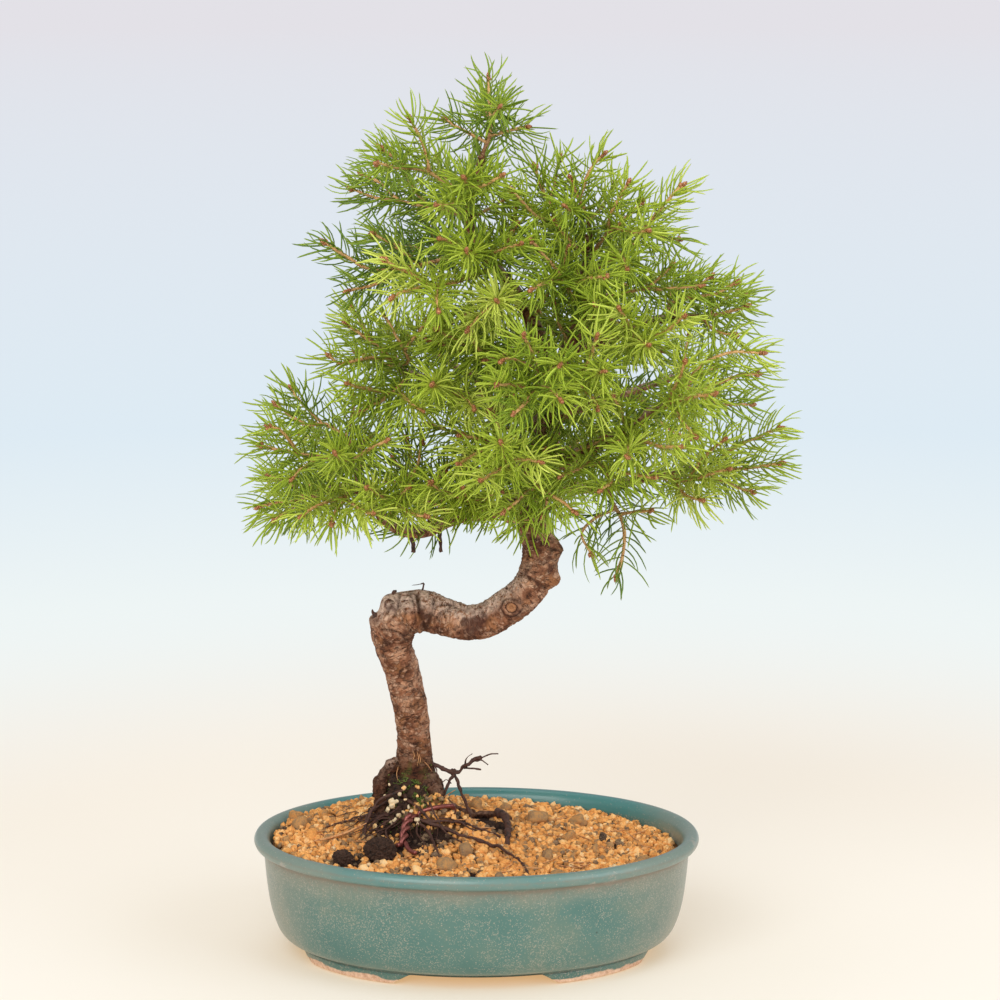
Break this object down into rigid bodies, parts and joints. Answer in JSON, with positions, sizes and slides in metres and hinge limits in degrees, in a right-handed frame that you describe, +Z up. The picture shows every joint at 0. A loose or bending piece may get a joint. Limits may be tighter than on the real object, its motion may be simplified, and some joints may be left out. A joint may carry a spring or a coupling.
{
  "type": "spruce bonsai in an oval pot",
  "caption": "Small spruce bonsai with a sharply bent trunk and a full needled crown, rooted in ochre grit in an oval teal glazed pot on four feet.",
  "frame": {"origin": "on the surface that the pot stands on, under the middle of the whole object's box; the pot's own middle is at x -18.8 mm, y -2.1 mm", "axes": "+Z up, -Y towards the tree's front, +X to the right as seen from the front, along the pot's long axis"},
  "size_m": [0.2372, 0.1918, 0.3803],
  "materials": {
    "glaze": "glossy teal glaze with fine sandy speckles, thin and brown at the lip, bare clay at the feet",
    "grit": "dry ochre clay grit, 2 to 5 mm grains, some grey and dark",
    "bark": "rough flaky conifer bark, pinkish brown with pale flakes and dark cracks",
    "needles": "living spruce needles, satin, mid to yellow green on orange-brown twigs",
    "wire": "brown anodised training wire",
    "net": "black moulded mesh",
    "peat": "moist dark peat",
    "straw": "dry orange-brown stalk"
  },
  "bodies": {
    "root": {"drain_net_left": "net", "drain_net_right": "net", "dry_twig": "straw", "peat_clod_1": "peat", "peat_clod_2": "peat", "pot": "glaze", "soil": "grit", "spray_apex": "needles", "spray_back_crown": "needles", "spray_back_left_mid": "needles", "spray_back_left_tip": "needles", "spray_back_low_drop": "needles", "spray_back_low_tip": "needles", "spray_back_mid_low": "needles", "spray_back_mid_tip": "needles", "spray_back_right_low": "needles", "spray_back_right_tip": "needles", "spray_front_crown": "needles", "spray_front_low_drop": "needles", "spray_front_low_tip": "needles", "spray_front_mid_right": "needles", "spray_front_mid_tip": "needles", "spray_hanging": "needles", "spray_heart_left": "needles", "spray_inner_left": "needles", "spray_leader_fork_left": "needles", "spray_leader_fork_right": "needles", "spray_leader_front": "needles", "spray_left_bright": "needles", "spray_left_end": "needles", "spray_left_inner_back": "needles", "spray_left_inner_front": "needles", "spray_left_knee": "needles", "spray_left_mid_tip": "needles", "spray_left_shelf": "needles", "spray_left_twig": "needles", "spray_left_under": "needles", "spray_left_up_tip": "needles", "spray_mid_left_back": "needles", "spray_mid_left_front": "needles", "spray_mid_left_low": "needles", "spray_mid_left_tip": "needles", "spray_right_branch_front": "needles", "spray_right_branch_low": "needles", "spray_right_branch_mid": "needles", "spray_right_branch_tip": "needles", "spray_right_leader_top": "needles", "spray_right_low_front": "needles", "spray_right_low_tip": "needles", "spray_right_mid_front": "needles", "spray_right_mid_tip": "needles", "spray_right_shoulder": "needles", "spray_right_upper_shelf": "needles", "spray_rosette_left": "needles", "spray_upper_front": "needles", "spray_upper_left_a": "needles", "spray_upper_left_b": "needles", "tie_wire": "wire", "tree": "bark"}
  },
  "joints": []
}
